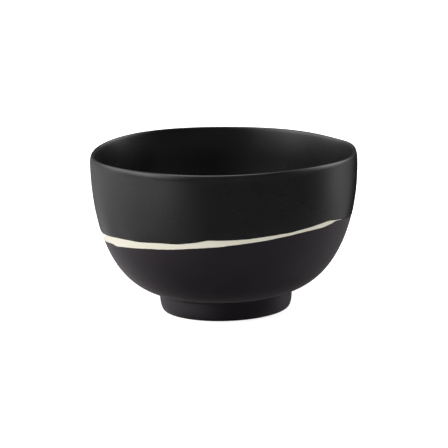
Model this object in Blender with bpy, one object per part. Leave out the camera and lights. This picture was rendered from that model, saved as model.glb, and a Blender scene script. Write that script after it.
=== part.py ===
"""A hand-thrown footed rice bowl in dark glaze, with a line of bare clay round its waist.

The bowl is one fired piece: foot ring, wall and rounded lip turned from one profile round +Z,
then pushed slightly out of true as a thrown bowl is. It is hollow, and open at the top.
Metres, +Z up. The origin is the middle of the bowl's box, at table level. +X is the bowl's
right and -Y its front, as it is usually seen.
"""

import math

import bmesh
import bpy
from mathutils import Vector

# Overall sizes
RIM_RADIUS = 0.0675
HEIGHT = 0.0811

# Lip: a long soft shoulder outside, up to a crest, and a steeper soft round down inside.
# The fullness at each end says how square the shoulder is: 0.55 is an oval's.
LIP_THICKNESS = 0.0026
LIP_SHOULDER_DROP = 0.0042
LIP_FULLNESS_AT_WALL = 0.56
LIP_FULLNESS_AT_CREST = 0.54
LIP_FULLNESS_INSIDE = 0.55
LIP_INNER_WIDTH = 0.0012
LIP_INNER_DROP = 0.0030

# Outer wall, a single curve from the crease above the foot to the lip's shoulder
WALL_START_SLOPE = math.radians(11.5)
WALL_START_REACH = 0.0255
WALL_TOP_REACH = 0.0306
WALL_BELLY = 0.0002

# Foot ring: widest at the crease, its side rounding in towards the table
FOOT_HEIGHT = 0.0100
FOOT_RADIUS_AT_CREASE = 0.0338
FOOT_RADIUS_AT_TABLE = 0.0314
FOOT_ROUNDNESS = 2.4
FOOT_FLAT_WIDTH = 0.0040
FOOT_INNER_ROUND = 0.0012

# Recess turned out of the underside, inside the foot ring
RECESS_DEPTH = 0.0060
RECESS_CORNER_ROUND = 0.0015

# Clay thicknesses away from the lip. The taper starts fast, so the inside flares at its top.
WALL_THICKNESS = 0.0040
WALL_TAPER_LENGTH = 0.0140
FLOOR_THICKNESS = 0.0055

# Out-of-true of the thrown wall, seen from above: an oval and three soft corners
OVAL = 0.0002
THREE_CORNERS = 0.00092

# Out-of-true of the rim, seen from the side: a lean and two waves
RIM_WAVES_FROM = 0.0150
RIM_LEAN = 0.00127
RIM_SADDLE = 0.00055
RIM_RIPPLE = 0.0003

# The one place where the rim was pulled up and out, at the right and a little behind
PULL_ANGLE = math.radians(11.0)
PULL_WIDTH = math.radians(13.0)
PULL_UP = 0.0009
PULL_OUT = 0.0009

# Facets
STEPS_ROUND = 72
STEPS_WALL = 16
STEPS_SHOULDER = 6
STEPS_LIP_INSIDE = 4
STEPS_FLOOR = 6
STEPS_FOOT_SIDE = 6
STEPS_SMALL_ROUND = 3
MERGE = 0.00001
SHARP_ANGLE = math.radians(40.0)

GLAZE_COLOUR = (0.012, 0.011, 0.012, 1.0)
GLAZE_ROUGHNESS = 0.35


def clear_scene():
    for thing in list(bpy.data.objects):
        bpy.data.objects.remove(thing, do_unlink=True)


def glaze():
    """Near-black satin glaze."""
    material = bpy.data.materials.new("glaze")
    material.use_nodes = True
    shader = material.node_tree.nodes["Principled BSDF"]
    shader.inputs["Base Color"].default_value = GLAZE_COLOUR
    shader.inputs["Roughness"].default_value = GLAZE_ROUGHNESS
    shader.inputs["Metallic"].default_value = 0.0
    return material


def bezier(start, start_handle, end_handle, end, t):
    u = 1.0 - t
    return (start * u ** 3 + start_handle * 3 * u * u * t
            + end_handle * 3 * u * t * t + end * t ** 3)


def curve(start, start_handle, end_handle, end, steps):
    """Points along a cubic curve, both ends included."""
    return [bezier(start, start_handle, end_handle, end, i / steps) for i in range(steps + 1)]


def arc(centre, radius, from_angle, to_angle, steps):
    """Points along an arc in the profile's plane, both ends included."""
    points = []
    for i in range(steps + 1):
        angle = from_angle + (to_angle - from_angle) * i / steps
        points.append(centre + radius * Vector((math.cos(angle), math.sin(angle))))
    return points


def outer_wall():
    """The wall's outside, from the crease up to where the lip's shoulder starts."""
    crease = Vector((FOOT_RADIUS_AT_CREASE, FOOT_HEIGHT))
    slope = Vector((math.cos(WALL_START_SLOPE), math.sin(WALL_START_SLOPE)))
    shoulder = Vector((RIM_RADIUS, HEIGHT - LIP_SHOULDER_DROP))
    belly = shoulder + Vector((WALL_BELLY, -WALL_TOP_REACH))
    return curve(crease, crease + WALL_START_REACH * slope, belly, shoulder, STEPS_WALL)


def behind_shoulder():
    """Where the wall's outside would reach the inside's top height, had it no shoulder."""
    rise = LIP_SHOULDER_DROP - LIP_INNER_DROP
    lean = rise * WALL_BELLY / WALL_TOP_REACH
    return Vector((RIM_RADIUS - lean, HEIGHT - LIP_INNER_DROP))


def lip():
    """Over the lip: a long shoulder up to the crest, then down to meet the inside's flare."""
    inside_top = behind_shoulder() - Vector((LIP_THICKNESS, 0.0))
    crest = inside_top + Vector((LIP_INNER_WIDTH, LIP_INNER_DROP))
    start = Vector((RIM_RADIUS, HEIGHT - LIP_SHOULDER_DROP))
    up_wall = Vector((-WALL_BELLY, WALL_TOP_REACH)).normalized()
    upward = start + up_wall * LIP_SHOULDER_DROP * LIP_FULLNESS_AT_WALL
    outward = crest + Vector(((start.x - crest.x) * LIP_FULLNESS_AT_CREST, 0.0))
    shoulder = curve(start, upward, outward, crest, STEPS_SHOULDER)
    inward = crest - Vector((LIP_INNER_WIDTH * LIP_FULLNESS_INSIDE, 0.0))
    flare = 2 * (WALL_THICKNESS - LIP_THICKNESS) / WALL_TAPER_LENGTH
    up_flare = inside_top + Vector((flare, 1.0)) * LIP_INNER_DROP * LIP_FULLNESS_INSIDE
    inner = curve(crest, inward, up_flare, inside_top, STEPS_LIP_INSIDE)
    return shoulder[1:] + inner[1:-1]


def wall_thickness(below_lip):
    """Thickness at a depth below the lip: it grows from the lip's to the wall's, then stays."""
    left = 1 - min(max(below_lip / WALL_TAPER_LENGTH, 0.0), 1.0)
    return WALL_THICKNESS - (WALL_THICKNESS - LIP_THICKNESS) * left * left


def inner_wall(outside):
    """The wall's inside: each outer point moved in, square to the wall, by the thickness.

    The outside goes on straight up behind the shoulder, where it is moved in level.
    """
    outside = outside + [behind_shoulder()]
    top = outside[-1].y
    inside = []
    for i, point in enumerate(outside):
        before = outside[max(i - 1, 0)]
        after = outside[min(i + 1, len(outside) - 1)]
        along = (after - before).normalized()
        if i == len(outside) - 1:
            along = Vector((0.0, 1.0))
        inwards = Vector((-along.y, along.x))
        inside.append(point + inwards * wall_thickness(top - point.y))
    return inside


def floor(meets):
    """The bowl's floor, from the inner wall's foot to the middle, where it lies level."""
    middle = Vector((0.0, RECESS_DEPTH + FLOOR_THICKNESS))
    slope = Vector((math.cos(WALL_START_SLOPE), math.sin(WALL_START_SLOPE)))
    reach = meets.x / 3
    return curve(meets, meets - slope * reach, middle + Vector((reach, 0.0)), middle, STEPS_FLOOR)


def foot_side():
    """The foot ring's outer side: a quarter of a squarish oval, from table to crease."""
    points = []
    for i in range(STEPS_FOOT_SIDE):
        angle = math.pi / 2 * (1 - i / STEPS_FOOT_SIDE)
        across = math.cos(angle) ** (2 / FOOT_ROUNDNESS)
        down = math.sin(angle) ** (2 / FOOT_ROUNDNESS)
        radius = FOOT_RADIUS_AT_TABLE + (FOOT_RADIUS_AT_CREASE - FOOT_RADIUS_AT_TABLE) * across
        points.append(Vector((radius, FOOT_HEIGHT * (1 - down))))
    return points


def recess():
    """The underside, from the middle of the recess out and down to the foot ring's flat."""
    inner_side = FOOT_RADIUS_AT_TABLE - FOOT_FLAT_WIDTH - FOOT_INNER_ROUND
    corner = Vector((inner_side - RECESS_CORNER_ROUND, RECESS_DEPTH - RECESS_CORNER_ROUND))
    edge = Vector((inner_side + FOOT_INNER_ROUND, FOOT_INNER_ROUND))
    points = [Vector((0.0, RECESS_DEPTH)), Vector((inner_side / 2, RECESS_DEPTH))]
    points += arc(corner, RECESS_CORNER_ROUND, math.pi / 2, 0.0, STEPS_SMALL_ROUND)
    points += arc(edge, FOOT_INNER_ROUND, math.pi, 1.5 * math.pi, STEPS_SMALL_ROUND)
    return points


def profile():
    """The whole section from the recess's middle, round the lip, to the floor's middle."""
    outside = outer_wall()
    down = list(reversed(inner_wall(outside)))
    return recess() + foot_side() + outside + lip() + down + floor(down[-1])[1:]


def wave(angle, lobes, height):
    return height * math.cos(lobes * angle)


def out_of_true(point):
    """Where a point of the true turned shape ends up on the hand-thrown bowl.

    The plan's corners grow from nothing at the crease, and the rim's waves fade in
    further up, so the foot stays round and flat.
    """
    radius = math.hypot(point.x, point.y)
    angle = math.atan2(point.y, point.x)
    up = min(max((point.z - FOOT_HEIGHT) / (HEIGHT - FOOT_HEIGHT), 0.0), 1.0)
    in_plan = up * (2 - up)
    waves_from = FOOT_HEIGHT + RIM_WAVES_FROM
    near_rim = min(max((point.z - waves_from) / (HEIGHT - waves_from), 0.0), 1.0)
    near_rim = near_rim * near_rim * (3 - 2 * near_rim)
    pull = math.exp(-((angle - PULL_ANGLE) / PULL_WIDTH) ** 2)
    plan = THREE_CORNERS * math.cos(3 * angle) - OVAL * math.sin(2 * angle)
    new_radius = radius * (1 + plan * in_plan / RIM_RADIUS) + near_rim * PULL_OUT * pull
    lift = -wave(angle, 1, RIM_LEAN) - wave(angle, 2, RIM_SADDLE) - wave(angle, 4, RIM_RIPPLE)
    new_height = point.z + near_rim * (lift + PULL_UP * pull)
    return Vector((new_radius * math.cos(angle), new_radius * math.sin(angle), new_height))


def turn(points):
    """Spin the section once round +Z and close it at the axis."""
    mesh = bmesh.new()
    ring = [mesh.verts.new((p.x, 0.0, p.y)) for p in points]
    edges = [mesh.edges.new(pair) for pair in zip(ring, ring[1:])]
    bmesh.ops.spin(mesh, geom=ring + edges, cent=(0, 0, 0), axis=(0, 0, 1),
                   angle=2 * math.pi, steps=STEPS_ROUND)
    bmesh.ops.remove_doubles(mesh, verts=mesh.verts, dist=MERGE)
    bmesh.ops.recalc_face_normals(mesh, faces=mesh.faces)
    return mesh


def centre_over_origin(mesh):
    """Slide the bowl so that the middle of its box stands over the origin."""
    for axis in (0, 1):
        places = [vert.co[axis] for vert in mesh.verts]
        middle = (min(places) + max(places)) / 2
        for vert in mesh.verts:
            vert.co[axis] -= middle


def bowl():
    shape = turn(profile())
    for vert in shape.verts:
        vert.co = out_of_true(vert.co)
    centre_over_origin(shape)
    mesh = bpy.data.meshes.new("bowl")
    shape.to_mesh(mesh)
    shape.free()
    mesh.shade_smooth()
    mesh.set_sharp_from_angle(angle=SHARP_ANGLE)
    mesh.materials.append(glaze())
    piece = bpy.data.objects.new("bowl", mesh)
    bpy.context.scene.collection.objects.link(piece)
    return piece


clear_scene()
bowl()
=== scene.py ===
# %% [markdown]
# # A hand-thrown footed bowl with a bare clay line
# The real bowl is one piece of cream stoneware. Its upper half was dipped in a satin black
# glaze and its lower half coated in a matte, slightly purple dark slip. The two coats don't
# quite meet, and the gap between them shows the bare clay as an uneven cream line.
# This lesson rebuilds that surface finely around the plain solid, then lights it softly.

import bpy
import numpy as np
from mathutils import Matrix, Vector


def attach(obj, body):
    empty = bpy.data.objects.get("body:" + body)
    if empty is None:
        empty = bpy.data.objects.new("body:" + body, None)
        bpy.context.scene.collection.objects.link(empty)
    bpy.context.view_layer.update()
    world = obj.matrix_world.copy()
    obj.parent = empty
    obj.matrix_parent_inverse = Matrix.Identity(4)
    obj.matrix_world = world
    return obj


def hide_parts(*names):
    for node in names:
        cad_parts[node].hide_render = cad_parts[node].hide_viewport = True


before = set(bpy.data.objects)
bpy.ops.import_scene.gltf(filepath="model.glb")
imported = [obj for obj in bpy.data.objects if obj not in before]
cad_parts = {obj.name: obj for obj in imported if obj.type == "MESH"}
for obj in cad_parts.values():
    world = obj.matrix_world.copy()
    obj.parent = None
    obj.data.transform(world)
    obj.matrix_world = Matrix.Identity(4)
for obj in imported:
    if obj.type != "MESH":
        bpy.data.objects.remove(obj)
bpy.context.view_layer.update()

MM = 0.001

# %% [markdown]
# ## Sizes
# The solid was drawn with these sizes, in metres. The fine surface uses the same ones, so it
# lies on the solid everywhere and only adds what is too small for the solid.

# %% Sizes of the bowl
RIM_RADIUS = 67.5 * MM
HEIGHT = 81.1 * MM
LIP_THICKNESS = 2.6 * MM
LIP_SHOULDER_DROP = 4.2 * MM
LIP_FULLNESS_AT_WALL = 0.56
LIP_FULLNESS_AT_CREST = 0.54
LIP_FULLNESS_INSIDE = 0.55
LIP_INNER_WIDTH = 1.2 * MM
LIP_INNER_DROP = 3.0 * MM
WALL_START_SLOPE = np.radians(11.5)
WALL_START_REACH = 25.5 * MM
WALL_TOP_REACH = 30.6 * MM
WALL_BELLY = 0.2 * MM
FOOT_HEIGHT = 10.0 * MM
FOOT_RADIUS_AT_CREASE = 33.8 * MM
FOOT_RADIUS_AT_TABLE = 31.4 * MM
FOOT_ROUNDNESS = 2.4
FOOT_FLAT_WIDTH = 4.0 * MM
FOOT_INNER_ROUND = 1.2 * MM
RECESS_DEPTH = 6.0 * MM
RECESS_CORNER_ROUND = 1.5 * MM
WALL_THICKNESS = 4.0 * MM
WALL_TAPER_LENGTH = 14.0 * MM
FLOOR_THICKNESS = 5.5 * MM
print("height over rim width:", round(HEIGHT / (2 * RIM_RADIUS), 2))

# %% [markdown]
# ## The turned section
# A pot thrown on a wheel is a section turned round an axis. A curve could be drawn by hand and
# given a Screw modifier, but a function of two parameters says the same thing in a few lines:
# how far along the section, and how far round. The section is made of cubic curves and arcs,
# each an array of (radius, height) points.

# %% Curves of the section
def cubic(points, count):
    """A cubic curve through its first and last point: the four points blended with weights
    (1-t)^3, 3t(1-t)^2, 3t^2(1-t) and t^3, for t from 0 to 1."""
    t = np.linspace(0.0, 1.0, count)[:, None]
    weights = np.hstack([(1 - t) ** 3, 3 * t * (1 - t) ** 2, 3 * t ** 2 * (1 - t), t ** 3])
    return weights @ np.array(points)


def arc(centre, radius, from_degrees, to_degrees, count):
    """Centre plus radius times (cosine, sine) of an angle that goes evenly between two."""
    angle = np.radians(np.linspace(from_degrees, to_degrees, count))
    return np.array(centre) + radius * np.stack([np.cos(angle), np.sin(angle)], axis=1)


def smooth(share):
    """Eases from 0 to 1: 3s^2 - 2s^3, held at 0 before and at 1 after."""
    share = np.clip(share, 0.0, 1.0)
    return share * share * (3 - 2 * share)


print("half way along the ease:", smooth(0.5))

# %% [markdown]
# ### Wall and lip
# The wall is one curve from the foot's crease to the lip. The potter's fingers left the lip
# with a long soft shoulder outside and a tighter round inside. Below that the inside flares
# a little, because the wall is thinnest at its top. The inside is found from the outside by
# moving it square to itself, as a thickness is measured on a real pot.

# %% Wall and lip
START = np.array([np.cos(WALL_START_SLOPE), np.sin(WALL_START_SLOPE)])
UP_WALL = np.array([-WALL_BELLY, WALL_TOP_REACH]) / np.hypot(WALL_BELLY, WALL_TOP_REACH)
SHOULDER_START = np.array([RIM_RADIUS, HEIGHT - LIP_SHOULDER_DROP])
BEHIND_SHOULDER = SHOULDER_START + UP_WALL / UP_WALL[1] * (LIP_SHOULDER_DROP - LIP_INNER_DROP)
FLARE = 2 * (WALL_THICKNESS - LIP_THICKNESS) / WALL_TAPER_LENGTH
STEPS_STRAIGHT = 6


def outer_wall(count):
    """The outside: a cubic from the crease, leaving it along the start slope, up to where
    the lip's shoulder starts."""
    crease = np.array([FOOT_RADIUS_AT_CREASE, FOOT_HEIGHT])
    belly = SHOULDER_START + [WALL_BELLY, -WALL_TOP_REACH]
    return cubic([crease, crease + WALL_START_REACH * START, belly, SHOULDER_START], count)


def over_lip(count_outside, count_inside):
    """Two cubics. One leaves the wall along itself and arrives level at the crest, its
    handles a share of the way long. The other goes on from there, down to the inside,
    which it meets along the flare."""
    inside_top = BEHIND_SHOULDER - [LIP_THICKNESS, 0.0]
    crest = inside_top + [LIP_INNER_WIDTH, LIP_INNER_DROP]
    up_wall = UP_WALL * LIP_SHOULDER_DROP * LIP_FULLNESS_AT_WALL
    from_crest = [(SHOULDER_START[0] - crest[0]) * LIP_FULLNESS_AT_CREST, 0.0]
    shoulder = cubic([SHOULDER_START, SHOULDER_START + up_wall, crest + from_crest, crest],
                     count_outside)
    level = [LIP_INNER_WIDTH * LIP_FULLNESS_INSIDE, 0.0]
    up_flare = np.array([FLARE, 1.0]) * LIP_INNER_DROP * LIP_FULLNESS_INSIDE
    inner = cubic([crest, crest - level, inside_top + up_flare, inside_top], count_inside)
    return np.vstack([shoulder[1:], inner[1:-1]])


def inner_wall(count):
    """The inside, from the lip down: the outside, carried on straight behind the shoulder,
    moved square to itself by a thickness. It grows from the lip's to the wall's by the
    share 1 - (1 - s)^2 of the way s down the taper, so the inside flares at its top."""
    straight = np.linspace(SHOULDER_START, BEHIND_SHOULDER, STEPS_STRAIGHT)[1:]
    outside = np.vstack([outer_wall(count), straight])
    along = np.gradient(outside, axis=0)
    along[-len(straight) - 1:] = UP_WALL
    along[-1] = [0.0, 1.0]
    along /= np.linalg.norm(along, axis=1, keepdims=True)
    inwards = np.stack([-along[:, 1], along[:, 0]], axis=1)
    way = np.clip((outside[-1, 1] - outside[:, 1]) / WALL_TAPER_LENGTH, 0.0, 1.0)
    grown = 1 - (1 - way) ** 2
    thickness = LIP_THICKNESS + (WALL_THICKNESS - LIP_THICKNESS) * grown
    return (outside + inwards * thickness[:, None])[::-1]


print("crease", outer_wall(2)[0] / MM, "lip", outer_wall(2)[-1] / MM)

# %% [markdown]
# ### Floor, foot and underside
# A turned foot ring has a flat to stand on, a side that rounds out to the crease, and a
# recess cut into its middle. The corners that a tool leaves are small arcs.

# %% Floor, foot and underside
STEPS_SMALL_ROUND = 6


def floor_of_bowl(meets, count):
    """The floor: a cubic that leaves the wall along its slope and lies level in the middle."""
    reach = meets[0] / 3
    middle = np.array([0.0, RECESS_DEPTH + FLOOR_THICKNESS])
    return cubic([meets, meets - START * reach, middle + [reach, 0.0], middle], count)


def foot_side(count):
    """The foot's outer side: radius and height follow cos^(2/n) and 1 - sin^(2/n) of an
    angle from 90 to 0 degrees, a quarter of a squarish oval."""
    angle = np.radians(np.linspace(90.0, 0.0, count))
    across = np.abs(np.cos(angle)) ** (2 / FOOT_ROUNDNESS)
    down = np.abs(np.sin(angle)) ** (2 / FOOT_ROUNDNESS)
    radius = FOOT_RADIUS_AT_TABLE + (FOOT_RADIUS_AT_CREASE - FOOT_RADIUS_AT_TABLE) * across
    return np.stack([radius, FOOT_HEIGHT * (1 - down)], axis=1)


def underside(count):
    """The recess ceiling, its round corner, its side and the round onto the foot's flat."""
    side = FOOT_RADIUS_AT_TABLE - FOOT_FLAT_WIDTH - FOOT_INNER_ROUND
    ceiling = np.linspace(side / count, side - RECESS_CORNER_ROUND, count)[:-1]
    ceiling = np.stack([ceiling, np.full(len(ceiling), RECESS_DEPTH)], axis=1)
    corner = arc((side - RECESS_CORNER_ROUND, RECESS_DEPTH - RECESS_CORNER_ROUND),
                 RECESS_CORNER_ROUND, 90.0, 0.0, STEPS_SMALL_ROUND)
    onto_flat = arc((side + FOOT_INNER_ROUND, FOOT_INNER_ROUND),
                    FOOT_INNER_ROUND, 180.0, 270.0, STEPS_SMALL_ROUND)
    return np.vstack([ceiling, corner, onto_flat])


print("foot at the table, mm:", foot_side(2)[0] / MM)

# %% [markdown]
# ## Out of true
# A thrown pot is never quite round. Seen from above this one has three soft corners, its rim
# leans a little and waves, and at the right it was pulled up and out. The same function moves
# every point, so the wall keeps its thickness. The foot stays flat and round.

# %% How the wall was pushed out of true
OVAL = 0.2 * MM
THREE_CORNERS = 0.92 * MM
RIM_WAVES_FROM = 15.0 * MM
RIM_LEAN = 1.27 * MM
RIM_SADDLE = 0.55 * MM
RIM_RIPPLE = 0.3 * MM
PULL_ANGLE = np.radians(11.0)
PULL_WIDTH = np.radians(13.0)
PULL_UP = 0.9 * MM
PULL_OUT = 0.9 * MM


def out_of_true(radius, height, angle):
    """Plan: radius grows by 3-lobed and 2-lobed waves times u(2-u), u the share of the way
    up. Rim: height gains 1, 2 and 4-lobed waves and one bell-shaped pull, faded in upwards."""
    up = np.clip((height - FOOT_HEIGHT) / (HEIGHT - FOOT_HEIGHT), 0.0, 1.0)
    start = FOOT_HEIGHT + RIM_WAVES_FROM
    near_rim = smooth((height - start) / (HEIGHT - start))
    turned = (angle + np.pi) % (2 * np.pi) - np.pi
    pull = np.exp(-((turned - PULL_ANGLE) / PULL_WIDTH) ** 2)
    plan = THREE_CORNERS * np.cos(3 * angle) - OVAL * np.sin(2 * angle)
    lift = (PULL_UP * pull - RIM_LEAN * np.cos(angle) - RIM_SADDLE * np.cos(2 * angle)
            - RIM_RIPPLE * np.cos(4 * angle))
    radius = radius * (1 + plan * up * (2 - up) / RIM_RADIUS) + near_rim * PULL_OUT * pull
    return radius * np.cos(angle), radius * np.sin(angle), height + near_rim * lift


print("rim height at the right and left, mm:",
      [round(float(out_of_true(RIM_RADIUS, HEIGHT, a)[2]) / MM, 2) for a in (0.0, np.pi)])

# %% [markdown]
# ## The bare line
# The two coats were poured or dipped by hand, so the line is a drawing, not a formula. A few
# heights of each edge round the bowl are enough, as a potter would mark them, with straight
# runs between and a little tremor on top. The angle is 0 at the right and -90 at the front.

# %% Edges of the two coats
GLAZE_EDGE = [(-174, 42.8), (-160, 43.9), (-152, 44.4), (-146, 45.1), (-136, 45.4),
              (-132, 45.3), (-122, 46.1), (-116, 46.3), (-111, 46.3), (-107, 46.9),
              (-102, 47.5), (-97, 48.8), (-94, 48.6), (-89, 48.5), (-81, 48.6), (-73, 49.0),
              (-65, 49.4), (-59, 49.6), (-52, 50.3), (-46, 50.9), (-38, 51.7), (-35, 51.5),
              (-33, 51.2), (-31, 50.95), (-28.5, 50.6), (-26, 50.2), (-24, 49.7),
              (-12, 48.2), (10, 47.0), (38, 46.1), (52, 45.6), (64, 44.3), (90, 42.2),
              (112, 41.4), (140, 41.4), (165, 42.1)]
SLIP_EDGE = [(-171, 38.9), (-164, 39.4), (-154, 40.6), (-149, 40.1), (-142, 41.0),
             (-133, 41.9), (-126, 42.6), (-120, 43.0), (-113, 43.5), (-105, 44.4),
             (-97, 45.0), (-94, 45.1), (-89, 45.7), (-81, 46.4), (-73, 47.0), (-65, 47.7),
             (-59, 48.2), (-52, 48.8), (-45, 48.9), (-41, 49.0), (-37, 49.4), (-33, 50.0),
             (-31, 50.6), (-28.5, 50.35), (-26, 50.1), (-24, 49.9), (-12, 48.5),
             (10, 47.3), (34, 46.2), (44, 45.2), (56, 44.4), (66, 44.4), (90, 42.5),
             (106, 41.6), (124, 40.0), (146, 38.8), (168, 38.6)]
GLAZE_SEED, SLIP_SEED = 5, 8
SOFTEN = 1.2
TREMOR = 0.05 * MM
TREMOR_LOBES = (23, 37, 58, 84, 121)
TREMOR_HALVES_AT = 20


def edge_height(points, angle, seed):
    """Straight runs between the marked heights, softened by averaging over a degree or so
    either side, plus a tremor: five sine waves of random phase round the bowl, each of
    height 20 / (20 + n), where n is its number of lobes."""
    marks = np.array(sorted(points), dtype=float)
    degrees = (np.degrees(angle) + 180) % 360 - 180
    height = np.zeros_like(angle)
    for step in (-SOFTEN, -SOFTEN / 2, 0.0, SOFTEN / 2, SOFTEN):
        height += np.interp(degrees + step, marks[:, 0], marks[:, 1], period=360) / 5
    rng = np.random.default_rng(seed)
    for lobes in TREMOR_LOBES:
        phase = rng.uniform(0, 2 * np.pi)
        size = TREMOR / MM * TREMOR_HALVES_AT / (TREMOR_HALVES_AT + lobes)
        height += size * np.sin(lobes * angle + phase)
    return height * MM


COLUMNS = 384
angles = np.arange(COLUMNS) * 2 * np.pi / COLUMNS
glaze_edge = edge_height(GLAZE_EDGE, angles, GLAZE_SEED)
slip_edge = edge_height(SLIP_EDGE, angles, SLIP_SEED)
gap = glaze_edge - slip_edge
print("line width, mm: widest", round(gap.max() / MM, 2), "bare round",
      round(float(np.mean(gap > 0)) * 360), "degrees")

# %% [markdown]
# ## Rows that follow the line
# A plain grid would cross the line at a slant and step along it. Instead the rows of the
# outer wall are spread so that they run along both edges, close together there, because each
# coat ends in a small rounded step. The glaze is the thicker coat, so its step is higher.

# %% Spread the rows along the outside
ROWS_BELOW, ROWS_LINE, ROWS_ABOVE = 44, 14, 58
ROWS_CROWD = 1.6
NARROWEST = 0.5 * MM
STEPS_FINE = 4000

fine = outer_wall(STEPS_FINE)
fine_length = np.concatenate([[0.0], np.cumsum(np.linalg.norm(np.diff(fine, axis=0), axis=1))])
wall_length = fine_length[-1]

glaze_at = np.interp(glaze_edge, fine[:, 1], fine_length)
slip_at = np.interp(slip_edge, fine[:, 1], fine_length)
middle = (glaze_at + slip_at) / 2
half = np.maximum((glaze_at - slip_at) / 2, NARROWEST / 2)

shares_down = (1 - np.arange(ROWS_BELOW) / ROWS_BELOW)[:, None] ** ROWS_CROWD
shares_line = np.cos(np.linspace(np.pi, 0.0, ROWS_LINE))[:, None]
shares_up = (np.arange(1, ROWS_ABOVE + 1) / (ROWS_ABOVE + 1))[:, None] ** ROWS_CROWD
low, high = middle - half, middle + half
along_wall = np.vstack([low * (1 - shares_down), middle + half * shares_line,
                        high + (wall_length - high) * shares_up])
print("rows on the outside:", len(along_wall))

# %% [markdown]
# ## Thickness of the coats
# A poured coat ends in a small rounded shoulder. Its thickness there follows a quarter circle:
# nothing at the edge, full after the shoulder's width. The clay in the line lies lower than
# both coats, and the glaze, being thicker, stands a little higher than the slip.

# %% Coats on the wall
GLAZE_COAT = 0.22 * MM
GLAZE_SHOULDER = 0.55 * MM
SLIP_COAT = 0.10 * MM
SLIP_SHOULDER = 0.25 * MM


def coat(thickness, shoulder, into):
    """Thickness times sqrt(1 - (1-x)^2), where x is the way into the coat over the shoulder."""
    x = np.clip(into / shoulder, 0.0, 1.0)
    return thickness * np.sqrt(1 - (1 - x) ** 2)


into_glaze = along_wall - glaze_at
into_slip = slip_at - along_wall
covered = np.maximum(coat(GLAZE_COAT, GLAZE_SHOULDER, into_glaze),
                     coat(SLIP_COAT, SLIP_SHOULDER, into_slip))
covered += (GLAZE_COAT - SLIP_COAT) * smooth(1 - along_wall / low)
sunk = np.where(into_glaze > GLAZE_SHOULDER, 0.0, GLAZE_COAT - np.minimum(covered, GLAZE_COAT))

slope = np.gradient(fine, axis=0)
slope /= np.linalg.norm(slope, axis=1, keepdims=True)
wall_radius = np.interp(along_wall, fine_length, fine[:, 0])
wall_height = np.interp(along_wall, fine_length, fine[:, 1])
wall_radius -= sunk * np.interp(along_wall, fine_length, slope[:, 1])
wall_height += sunk * np.interp(along_wall, fine_length, slope[:, 0])
print("deepest step, mm:", round(sunk.max() / MM, 2))

# %% [markdown]
# ## One closed surface
# The whole section is now a stack of rings, from the middle of the underside, over the foot,
# wall and lip, to the middle of the floor. Every ring has the same number of points, so the
# faces are quads between neighbours, and a fan closes each end. Two attributes say how far
# each point lies inside each coat, in millimetres. The finishes read them to know where the
# clay is bare.

# %% Stack the rings
ROWS_UNDER, ROWS_FLAT, ROWS_FOOT, ROWS_FLOOR = 12, 4, 18, 26
ROWS_SHOULDER, ROWS_INNER_ROUND, ROWS_INSIDE = 16, 12, 48
FAR_INSIDE = 50.0
FOOT_WIPED = 0.35


def ring_stack(section):
    """A section of (radius, height) points repeated for every column."""
    section = np.asarray(section)
    return [np.repeat(section[:, k:k + 1], COLUMNS, axis=1) for k in (0, 1)]


under = underside(ROWS_UNDER)
foot = foot_side(ROWS_FOOT)[:-1]
flat = np.linspace(under[-1], foot[0], ROWS_FLAT)[1:-1]
lip = over_lip(ROWS_SHOULDER, ROWS_INNER_ROUND)
inside = inner_wall(ROWS_INSIDE)
floor = floor_of_bowl(inside[-1], ROWS_FLOOR)[1:-1]

lower_radius, lower_height = ring_stack(np.vstack([under, flat, foot]))
upper_radius, upper_height = ring_stack(np.vstack([lip, inside, floor]))
radius = np.vstack([lower_radius, wall_radius, upper_radius])
height = np.vstack([lower_height, wall_height, upper_height])

wiped = lower_height / MM - FOOT_WIPED
into_glaze_mm = np.vstack([np.full_like(lower_radius, -FAR_INSIDE), into_glaze / MM,
                           np.full_like(upper_radius, FAR_INSIDE)])
into_slip_mm = np.vstack([wiped, into_slip / MM, np.full_like(upper_radius, -FAR_INSIDE)])
first_glaze_row = len(lower_radius) + ROWS_BELOW + ROWS_LINE // 2

x, y, z = out_of_true(radius, height, angles)
rows = len(radius)
print("rings:", rows, "points:", rows * COLUMNS + 2)

# %% [markdown]
# ### Faces
# The corners of all quads are found at once: ring i, ring i+1, and the next column round,
# wrapping from the last column to the first. Whole arrays go into the mesh in one step each,
# which is far quicker than adding points one by one.

# %% Faces of a stack of rings
def grid_faces(rows, columns):
    """Quads (i, j), (i, j+1), (i+1, j+1), (i+1, j), the last column joined to the first."""
    first = np.arange(rows * columns).reshape(rows, columns)
    beside = np.roll(first, -1, axis=1)
    return np.stack([first[:-1], beside[:-1], beside[1:], first[1:]], axis=-1).reshape(-1, 4)


def closed_mesh(name, rings, start, end):
    """Rings as a (rows, columns, 3) array, closed by a fan to a point at each end."""
    rows, columns = rings.shape[:2]
    points = np.vstack([rings.reshape(-1, 3), start, end])
    quads = grid_faces(rows, columns)
    ring = np.arange(columns)
    last = ring + (rows - 1) * columns
    under_fan = np.stack([np.full(columns, rows * columns), np.roll(ring, -1), ring], axis=1)
    floor_fan = np.stack([last, np.roll(last, -1), np.full(columns, rows * columns + 1)], axis=1)
    corners = np.concatenate([quads.ravel(), under_fan.ravel(), floor_fan.ravel()])
    sizes = np.concatenate([np.full(len(quads), 4), np.full(2 * columns, 3)])
    mesh = bpy.data.meshes.new(name)
    mesh.vertices.add(len(points))
    mesh.vertices.foreach_set("co", points.astype(np.float32).ravel())
    mesh.loops.add(len(corners))
    mesh.loops.foreach_set("vertex_index", corners.astype(np.int32))
    mesh.polygons.add(len(sizes))
    starts = np.concatenate([[0], np.cumsum(sizes)[:-1]])
    mesh.polygons.foreach_set("loop_start", starts.astype(np.int32))
    mesh.update(calc_edges=True)
    mesh.validate()
    mesh.shade_smooth()
    return mesh


print("faces between two rings of four:", len(grid_faces(2, 4)))

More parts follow.
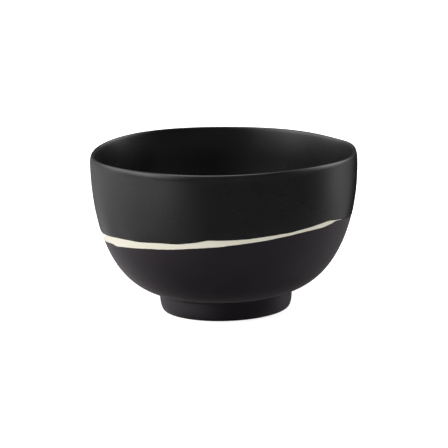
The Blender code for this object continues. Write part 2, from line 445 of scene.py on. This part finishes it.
# %% [markdown]
# ### The bowl itself
# The rings slide sideways so that the middle of the bowl's box stands over the origin, as the
# solid's does. The object stays unmoved, with its place in its mesh.

# %% Make the bowl
rings = np.stack([x, y, z], axis=-1)
slide = [-(axis.min() + axis.max()) / 2 for axis in (x, y)] + [0.0]
rings = rings + slide
axis_point = np.array(slide)
mesh = closed_mesh("hand_thrown_bowl", rings,
                   axis_point + [0, 0, RECESS_DEPTH],
                   axis_point + [0, 0, RECESS_DEPTH + FLOOR_THICKNESS])

for name, values, at_ends in (("into_glaze", into_glaze_mm, (-FAR_INSIDE, FAR_INSIDE)),
                              ("into_slip", into_slip_mm, (FAR_INSIDE, -FAR_INSIDE))):
    attribute = mesh.attributes.new(name, "FLOAT", "POINT")
    attribute.data.foreach_set("value", np.append(values.ravel(), at_ends).astype(np.float32))

bowl = bpy.data.objects.new("hand_thrown_bowl", mesh)
bpy.context.scene.collection.objects.link(bowl)
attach(bowl, "root")
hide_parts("bowl")
print("triangles:", 2 * (rows - 1) * COLUMNS + 2 * COLUMNS,
      "axis stands at, mm:", np.round(axis_point / MM, 2))

# %% [markdown]
# ## Finishes
# Three surfaces meet on this bowl: satin glaze, matte slip and bare clay. All three are fired
# earth with a fine grain, so the grain is one node group, used with other values in each.
# Flat colours would look like plastic. Real glaze varies a little in shade and in gloss over
# centimetres, and breaks up the light over tenths of a millimetre.

# %% Helpers for nodes
def new_group(name, inputs, outputs):
    """A shader node group with named float or colour sockets, and its two end nodes."""
    group = bpy.data.node_groups.new(name, "ShaderNodeTree")
    for socket, kind, value in inputs:
        made = group.interface.new_socket(socket, in_out="INPUT", socket_type=kind)
        made.default_value = value
    for socket, kind in outputs:
        group.interface.new_socket(socket, in_out="OUTPUT", socket_type=kind)
    return group, group.nodes.new("NodeGroupInput"), group.nodes.new("NodeGroupOutput")


def add(tree, kind, links=None, values=None, **settings):
    """One node: its settings by name, then values and links into its sockets."""
    node = tree.nodes.new(kind)
    for key, value in settings.items():
        setattr(node, key, value)
    for socket, value in (values or {}).items():
        node.inputs[socket].default_value = value
    for socket, source in (links or {}).items():
        tree.links.new(source, node.inputs[socket])
    return node


FLOAT, COLOUR = "NodeSocketFloat", "NodeSocketColor"


def mixed(tree, kind, share, start, end):
    """A Mix node's result: start where share is 0, end where it is 1."""
    first, second, result = {"FLOAT": (2, 3, 0), "RGBA": (6, 7, 2)}[kind]
    node = tree.nodes.new("ShaderNodeMix")
    node.data_type = kind
    for socket, source in ((0, share), (first, start), (second, end)):
        if isinstance(source, bpy.types.NodeSocket):
            tree.links.new(source, node.inputs[socket])
        else:
            node.inputs[socket].default_value = source
    return node.outputs[result]


def grey(value):
    """An opaque colour with the value as its red, green and blue."""
    return (value, value, value, 1.0)


print("middle grey:", grey(0.18))

# %% [markdown]
# ### Grain
# The grain has two outputs: a fine height that roughens the surface, and a slow mottle from
# 0 to 1 that drifts over centimetres. Both read the object's own coordinates, so nothing
# slides when the bowl is turned.

# %% Fired grain
grain, grain_in, grain_out = new_group(
    "fired_grain",
    [("Grains per metre", FLOAT, 2500.0), ("Drifts per metre", FLOAT, 40.0)],
    [("Height", FLOAT), ("Mottle", FLOAT)])
where = add(grain, "ShaderNodeTexCoord").outputs["Object"]
speck = add(grain, "ShaderNodeTexNoise", {"Vector": where, "Scale": grain_in.outputs[0]},
            {"Detail": 4.0, "Roughness": 0.6})
drift = add(grain, "ShaderNodeTexNoise", {"Vector": where, "Scale": grain_in.outputs[1]},
            {"Detail": 3.0})
spread = add(grain, "ShaderNodeMapRange", {"Value": drift.outputs["Fac"]},
             {"From Min": 0.3, "From Max": 0.7})
grain.links.new(speck.outputs["Fac"], grain_out.inputs["Height"])
grain.links.new(spread.outputs[0], grain_out.inputs["Mottle"])
print("nodes in the grain:", len(grain.nodes))

# %% [markdown]
# ### Bare clay
# The clay is cream, with fine streaks along the line where the sponge or brush dragged it.
# Streaks are noise squeezed in one direction: the coordinate across the line is stretched
# fifty times more than the ones along it. Its edge isn't cut with a knife either, so a little
# noise shifts the boundary by a few hundredths of a millimetre.

# %% Bare clay group
CLAY_PALE = (0.92, 0.885, 0.76, 1.0)
CLAY_STREAK = (0.84, 0.80, 0.65, 1.0)
EDGE_WANDER_MM = 0.10
EDGE_SOFT_MM = 0.05
RAGS_PER_METRE = 900.0
STREAKS_PER_METRE = 60.0
STREAK_METRES_PER_MM = 0.05

clay, clay_in, clay_out = new_group(
    "bare_clay", [("Into coat", FLOAT, 0.0)], [("Bare", FLOAT), ("Color", COLOUR)])
into = clay_in.outputs["Into coat"]
where = add(clay, "ShaderNodeTexCoord").outputs["Object"]
ragged = add(clay, "ShaderNodeTexNoise", {"Vector": where},
             {"Scale": RAGS_PER_METRE, "Detail": 3.0})
wander = add(clay, "ShaderNodeMapRange", {"Value": ragged.outputs["Fac"]},
             {"From Min": 0.3, "From Max": 0.7,
              "To Min": -EDGE_WANDER_MM / 2, "To Max": EDGE_WANDER_MM / 2})
edge = add(clay, "ShaderNodeMath", {0: into, 1: wander.outputs[0]}, operation="ADD")
bare = add(clay, "ShaderNodeMapRange", {"Value": edge.outputs[0]},
           {"From Min": -EDGE_SOFT_MM, "From Max": EDGE_SOFT_MM, "To Min": 1.0, "To Max": 0.0},
           interpolation_type="SMOOTHSTEP")
parts = add(clay, "ShaderNodeSeparateXYZ", {0: where})
stretched = add(clay, "ShaderNodeMath", {0: into}, {1: STREAK_METRES_PER_MM},
                operation="MULTIPLY")
streak_place = add(clay, "ShaderNodeCombineXYZ", {0: parts.outputs[0], 1: parts.outputs[1],
                                                  2: stretched.outputs[0]})
streak = add(clay, "ShaderNodeTexNoise", {"Vector": streak_place.outputs[0]},
             {"Scale": STREAKS_PER_METRE, "Detail": 4.0})
share = add(clay, "ShaderNodeMapRange", {"Value": streak.outputs["Fac"]},
            {"From Min": 0.35, "From Max": 0.65})
shade = mixed(clay, "RGBA", share.outputs[0], CLAY_STREAK, CLAY_PALE)
clay.links.new(bare.outputs[0], clay_out.inputs["Bare"])
clay.links.new(shade, clay_out.inputs["Color"])
print("nodes in the clay:", len(clay.nodes))

# %% [markdown]
# ### The two coats
# Each coat is a Principled shader: a near-black colour that drifts between two shades, a
# roughness that drifts with it, and the grain as bump. Where the clay is bare, the same
# shader takes the clay's colour and roughness. A satin glaze is smoother than the slip. The
# slip is dry and powdery, so its edges look frosted: a thin sheen layer does that.

# %% Coat materials
CLAY_ROUGHNESS = 0.75
FROST_ROUGHNESS = 0.35
FROST_TINT = (1.0, 0.88, 0.90, 1.0)


def coat_material(name, attribute, colours, roughness, grains, bump, frost, tint):
    """A coated surface. The mottle mixes its two colours and its two roughnesses, and
    where the attribute is below zero the clay takes over from both."""
    material = bpy.data.materials.new(name)
    material.use_nodes = True
    tree = material.node_tree
    shader = tree.nodes["Principled BSDF"]
    shader.inputs["Sheen Weight"].default_value = frost
    shader.inputs["Sheen Roughness"].default_value = FROST_ROUGHNESS
    shader.inputs["Sheen Tint"].default_value = FROST_TINT
    shader.inputs["Specular Tint"].default_value = tint
    texture = add(tree, "ShaderNodeGroup", node_tree=grain)
    texture.inputs["Grains per metre"].default_value = grains
    distance = add(tree, "ShaderNodeAttribute", attribute_name=attribute)
    cream = add(tree, "ShaderNodeGroup", node_tree=clay)
    tree.links.new(distance.outputs["Fac"], cream.inputs["Into coat"])
    tone = mixed(tree, "RGBA", texture.outputs["Mottle"], *colours)
    colour = mixed(tree, "RGBA", cream.outputs["Bare"], tone, cream.outputs["Color"])
    gloss = mixed(tree, "FLOAT", texture.outputs["Mottle"], *roughness)
    rough = mixed(tree, "FLOAT", cream.outputs["Bare"], gloss, CLAY_ROUGHNESS)
    relief = add(tree, "ShaderNodeBump", {"Height": texture.outputs["Height"]},
                 {"Distance": bump})
    tree.links.new(colour, shader.inputs["Base Color"])
    tree.links.new(rough, shader.inputs["Roughness"])
    tree.links.new(relief.outputs[0], shader.inputs["Normal"])
    return material


satin_glaze = coat_material(
    "satin_black_glaze", "into_glaze",
    colours=[(0.0112, 0.0112, 0.0115, 1.0), (0.0136, 0.0136, 0.0138, 1.0)],
    roughness=(0.25, 0.29), grains=2500.0, bump=0.008 * MM, frost=0.0, tint=grey(1.0))
matte_slip = coat_material(
    "matte_dark_slip", "into_slip",
    colours=[(0.0136, 0.0106, 0.0146, 1.0), (0.0168, 0.0132, 0.0181, 1.0)],
    roughness=(0.47, 0.53), grains=1800.0, bump=0.02 * MM, frost=0.18,
    tint=(1.0, 0.90, 1.0, 1.0))
mesh.materials.append(satin_glaze)
mesh.materials.append(matte_slip)

quads = (rows - 1) * COLUMNS
which = np.zeros(quads + 2 * COLUMNS, dtype=np.int32)
which[:first_glaze_row * COLUMNS] = 1
which[quads:quads + COLUMNS] = 1
mesh.polygons.foreach_set("material_index", which)
print("faces in glaze:", int((which == 0).sum()), "in slip:", int((which == 1).sum()))

# %% [markdown]
# ## Floor
# A plain pale floor, large enough to fill the picture, so there is no horizon behind the bowl.
# The photograph's bowl throws no shadow, because its ground was burnt out to white. A glow
# that only the camera sees does the same here and lights nothing. Mirror rays pass through
# the floor: what the dark glaze mirrors is drawn in the surround instead.

# %% Floor
FLOOR_SIZE = 6.0
FLOOR_COLOUR = grey(0.80)
FLOOR_ROUGHNESS = 0.9
FLOOR_GLOW = 0.85

bpy.ops.mesh.primitive_plane_add(size=FLOOR_SIZE)
ground = bpy.context.object
ground.name = "pale_floor"
ground.visible_glossy = False
paper = bpy.data.materials.new("pale_paper")
paper.use_nodes = True
paper_shader = paper.node_tree.nodes["Principled BSDF"]
paper_shader.inputs["Base Color"].default_value = FLOOR_COLOUR
paper_shader.inputs["Roughness"].default_value = FLOOR_ROUGHNESS
paper_shader.inputs["Specular IOR Level"].default_value = 0.0
burnt_out = mixed(paper.node_tree, "RGBA",
                  add(paper.node_tree, "ShaderNodeLightPath").outputs["Is Camera Ray"],
                  grey(0.0), grey(1.0))
paper.node_tree.links.new(burnt_out, paper_shader.inputs["Emission Color"])
paper_shader.inputs["Emission Strength"].default_value = FLOOR_GLOW
ground.data.materials.append(paper)
print("floor, m across:", FLOOR_SIZE)

# %% [markdown]
# ## Light
# A dark glaze shows its surround more than its own colour. In the photograph a broad soft
# light fills the whole left side, a narrower one stands at the right, and the front and back
# are dim. Softboxes would do for one highlight, but here every part of the bowl mirrors some
# part of the room, so the room is drawn as a panorama: for eight belts of height, how bright
# it is every twenty degrees round, starting from the left.

# %% Brightness of the surround
OVERHEAD = 3.27
BELTS = [
    [0, 0, 0, 0.01, 0.02, 0.01, 0, 0, 0,
     0, 0, 0.04, 0.07, 0.04, 0, 0, 0, 0],
    [0, 0, 0.25, 0.2, 0.05, 0.1, 0.07, 0.22, 0.34,
     0.35, 0.46, 0.05, 0.05, 0.1, 0, 0, 0.55, 0],
    [0.62, 0.68, 0.42, 0.22, 0.03, 0.09, 0.05, 0.04, 0.04,
     0.1, 0.37, 0.52, 0.05, 0.1, 0.15, 0.68, 0.35, 0.67],
    [1.05, 0.94, 1.15, 0.35, 0, 0, 0, 0.07, 0,
     0.19, 0.98, 0.4, 0, 0, 0.18, 0.4, 0.66, 0.85],
    [0.4, 0.5, 0, 0, 0.12, 0.15, 0.15, 0.13, 0.16,
     0.1, 0.8, 0.4, 0.01, 0.2, 0, 0.3, 0.45, 1.25],
    [3.04, 4.3, 1.8, 0.1, 0, 0, 0, 0, 0,
     1.1, 3.4, 2.2, 0.14, 0, 0, 0.2, 1.5, 2.61],
    [0.45, 1.88, 3.3, 1.65, 0, 0, 0, 0.13, 0.25,
     0.48, 0.7, 0.35, 0, 0, 0, 0, 0, 0.23],
    [OVERHEAD] * 18,
]
BELT_TOPS = [-55.0, -35.0, -18.0, -2.0, 11.0, 42.0, 65.0]
BELT_SOFT = 5.0
BRIGHTEST = 5.0
BACKDROP = 1.2
print("surround:", len(BELTS), "belts of", len(BELTS[0]), "directions, brightest",
      max(max(belt) for belt in BELTS))

# %% [markdown]
# ### The panorama's nodes
# A direction's bearing and rise are worked out from its coordinates. Each belt is a colour
# ramp over the bearing, and each one fades into the next over ten degrees of rise. The camera
# sees an even pale backdrop instead.

# %% Draw the panorama
def belt_of_light(tree, turn, brightness):
    """One belt: a ramp over a full turn. Its first stop and its last hold the first value,
    so it closes, and the others stand between them at k/n."""
    ramp = add(tree, "ShaderNodeValToRGB", {"Fac": turn})
    stops = ramp.color_ramp.elements
    stops[0].color = stops[1].color = grey(brightness[0] / BRIGHTEST)
    for k, value in enumerate(brightness[1:], start=1):
        stops.new(k / len(brightness)).color = grey(value / BRIGHTEST)
    return ramp.outputs["Color"]


world = bpy.data.worlds.new("studio_surround")
bpy.context.scene.world = world
world.use_nodes = True
room = world.node_tree
way = add(room, "ShaderNodeSeparateXYZ",
          {0: add(room, "ShaderNodeTexCoord").outputs["Generated"]})
bearing = add(room, "ShaderNodeMath", {0: way.outputs["Y"], 1: way.outputs["X"]},
              operation="ARCTAN2")
turn = add(room, "ShaderNodeMapRange", {"Value": bearing.outputs[0]},
           {"From Min": -np.pi, "From Max": np.pi}).outputs[0]
rise = add(room, "ShaderNodeMath", {0: way.outputs["Z"]}, operation="ARCSINE").outputs[0]

shine = belt_of_light(room, turn, BELTS[0])
for belt, top in zip(BELTS[1:], BELT_TOPS):
    above = add(room, "ShaderNodeMapRange", {"Value": rise},
                {"From Min": np.radians(top - BELT_SOFT), "From Max": np.radians(top + BELT_SOFT)})
    shine = mixed(room, "RGBA", above.outputs[0], shine, belt_of_light(room, turn, belt))
seen = add(room, "ShaderNodeLightPath").outputs["Is Camera Ray"]
backdrop = mixed(room, "RGBA", seen, shine, grey(BACKDROP / BRIGHTEST))
room.links.new(backdrop, room.nodes["Background"].inputs["Color"])
room.nodes["Background"].inputs["Strength"].default_value = BRIGHTEST
print("nodes in the surround:", len(room.nodes))

# %% [markdown]
# ## Camera
# The photograph looks down on the bowl by about twelve degrees through a long lens, and was
# held a little askew. All of these come from fitting the bowl's outline to the photograph.

# %% Camera
CAMERA_ELEVATION = np.radians(12.43)
CAMERA_DISTANCE = 1.369
CAMERA_ROLL = np.radians(1.88)
LENS = 216.2
TURNED_ABOUT = axis_point + [0.2 * MM, 0.0, 40.0 * MM]
AIM_HIGHER = 2.93 * MM

camera_data = bpy.data.cameras.new("camera")
camera_data.lens = LENS
camera = bpy.data.objects.new("camera", camera_data)
bpy.context.scene.collection.objects.link(camera)
away = np.array([0.0, -np.cos(CAMERA_ELEVATION), np.sin(CAMERA_ELEVATION)])
camera.location = Vector(TURNED_ABOUT + away * CAMERA_DISTANCE)
looking = Vector(TURNED_ABOUT + [0.0, 0.0, AIM_HIGHER]) - camera.location
level = looking.to_track_quat("-Z", "Y").to_matrix()
camera.rotation_euler = (level @ Matrix.Rotation(-CAMERA_ROLL, 3, "Z")).to_euler()
bpy.context.scene.camera = camera
bpy.context.scene.view_settings.view_transform = "Standard"
print("camera at", [round(c, 3) for c in camera.location])
